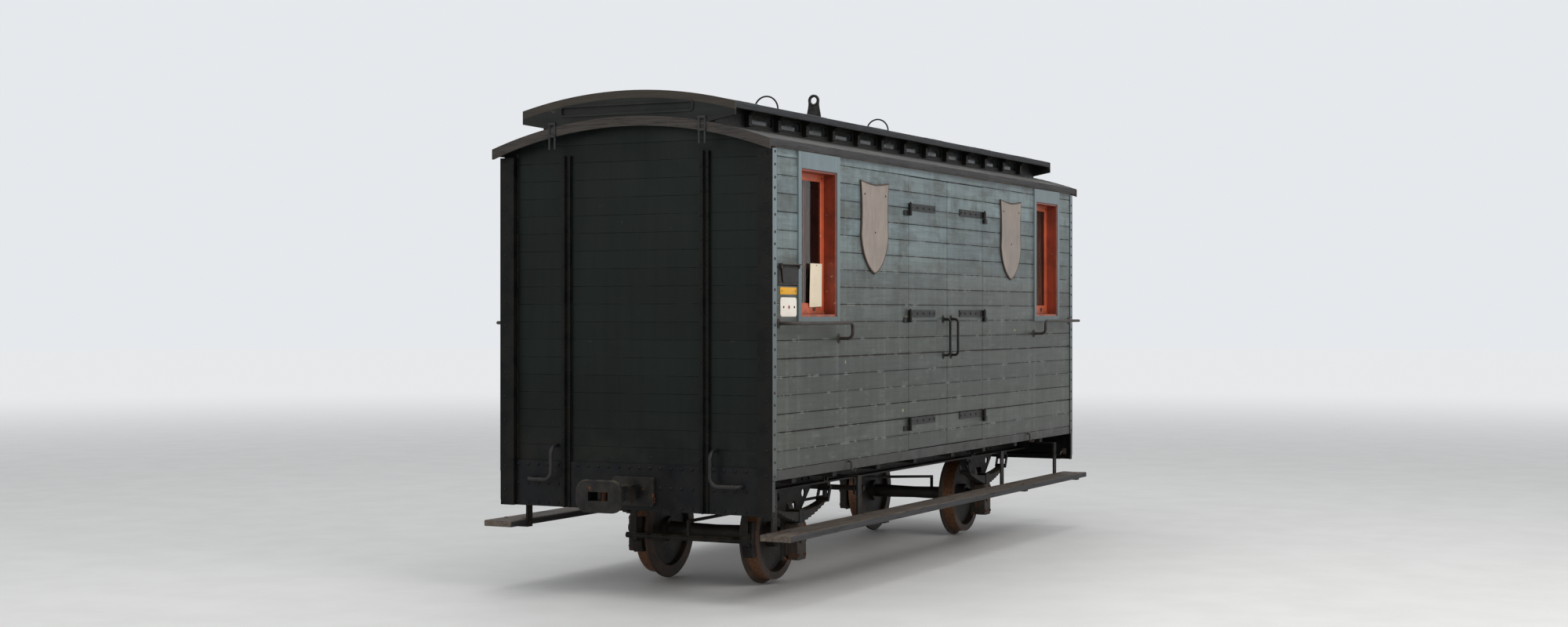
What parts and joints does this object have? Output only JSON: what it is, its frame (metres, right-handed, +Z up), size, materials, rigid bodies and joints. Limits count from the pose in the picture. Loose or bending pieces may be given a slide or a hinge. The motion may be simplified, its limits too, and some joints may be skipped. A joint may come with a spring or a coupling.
{
  "type": "narrow-gauge railway mail coach",
  "caption": "Two-axle narrow-gauge wooden mail coach with a clerestory roof, side windows, hinged double doors, letter slots, footboards and middle buffers.",
  "frame": {"origin": "middle of the coach's footprint, at the tips of the wheel flanges, 28 mm below the rail head", "axes": "+X along the track away from the end seen in the picture, +Y across, away from the side seen, +Z up"},
  "size_m": [6.4, 2.22, 3.4009],
  "materials": {
    "body_paint": "weathered grey-green paint on boards",
    "end_paint": "weathered dark green paint on sheet",
    "black_iron": "worn black paint",
    "window_paint": "orange-red paint",
    "weathered_wood": "bare weathered boards",
    "roof_canvas": "painted canvas on boards",
    "glass": "clear",
    "curtain_cloth": "plain cloth",
    "enamel": "gloss enamel",
    "shield_paint": "faded paint",
    "wheel_steel": "worn tread, rusty sides",
    "inner_wood": "varnished"
  },
  "bodies": {
    "coach_frame": {"floor_boards": "inner_wood", "sole_bars": "black_iron", "headstocks": "black_iron", "cross_members": "black_iron", "side_panels": "body_paint", "corner_panels": "body_paint", "door_frames": "body_paint", "end_walls": "end_paint", "end_posts": "black_iron", "main_roof": "roof_canvas", "eaves_boards": "weathered_wood", "roof_end_boards": "weathered_wood", "clerestory_sides": "body_paint", "clerestory_glass": "glass", "clerestory_roof": "roof_canvas", "clerestory_end_boards": "end_paint", "window_frames": "window_paint", "window_panes": "glass", "curtain_rods": "black_iron", "curtains": "curtain_cloth", "letter_plates": "black_iron", "side_plates": "enamel", "shields": "shield_paint", "handrails": "black_iron", "end_irons": "black_iron", "footboards": "weathered_wood", "footboard_brackets": "black_iron", "axle_guards": "black_iron", "axleboxes": "black_iron", "leaf_springs": "black_iron", "brake_beams": "black_iron", "brake_rigging": "black_iron", "couplers": "black_iron", "draw_pins": "black_iron", "rope_guides": "black_iron", "door_pintles": "black_iron", "sorting_table": "inner_wood"},
    "wheelset_a": {"wheelset_a": "wheel_steel"},
    "wheelset_b": {"wheelset_b": "wheel_steel"},
    "flap_right": {"letter_flap_right": "black_iron"},
    "flap_left": {"letter_flap_left": "black_iron"},
    "door_right_a": {"door_right_a_leaf": "body_paint", "door_right_a_irons": "black_iron"},
    "door_right_b": {"door_right_b_leaf": "body_paint", "door_right_b_irons": "black_iron"},
    "door_left_a": {"door_left_a_leaf": "body_paint", "door_left_a_irons": "black_iron"},
    "door_left_b": {"door_left_b_leaf": "body_paint", "door_left_b_irons": "black_iron"}
  },
  "joints": [
    {"name": "wheelset_a_turn", "type": "hinge", "parent": "coach_frame", "child": "wheelset_a", "pos_m": [-1.7, 0, 0.328], "axis": [0, 1, 0], "continuous": true},
    {"name": "wheelset_b_turn", "type": "hinge", "parent": "coach_frame", "child": "wheelset_b", "pos_m": [1.7, 0, 0.328], "axis": [0, 1, 0], "continuous": true},
    {"name": "door_right_a_swing", "type": "hinge", "parent": "coach_frame", "child": "door_right_a", "pos_m": [-0.712, -0.996, 1.788], "axis": [0, 0, -1], "range_deg": [0, 100]},
    {"name": "door_right_b_swing", "type": "hinge", "parent": "coach_frame", "child": "door_right_b", "pos_m": [0.712, -0.996, 1.788], "axis": [0, 0, 1], "range_deg": [0, 100]},
    {"name": "door_left_a_swing", "type": "hinge", "parent": "coach_frame", "child": "door_left_a", "pos_m": [-0.712, 0.996, 1.788], "axis": [0, 0, 1], "range_deg": [0, 100]},
    {"name": "door_left_b_swing", "type": "hinge", "parent": "coach_frame", "child": "door_left_b", "pos_m": [0.712, 0.996, 1.788], "axis": [0, 0, -1], "range_deg": [0, 100]},
    {"name": "flap_right_lift", "type": "hinge", "parent": "coach_frame", "child": "flap_right", "pos_m": [-2.585, -0.994, 2.071], "axis": [-1, 0, 0], "range_deg": [0, 70]},
    {"name": "flap_left_lift", "type": "hinge", "parent": "coach_frame", "child": "flap_left", "pos_m": [2.585, 0.994, 2.071], "axis": [1, 0, 0], "range_deg": [0, 70]}
  ]
}
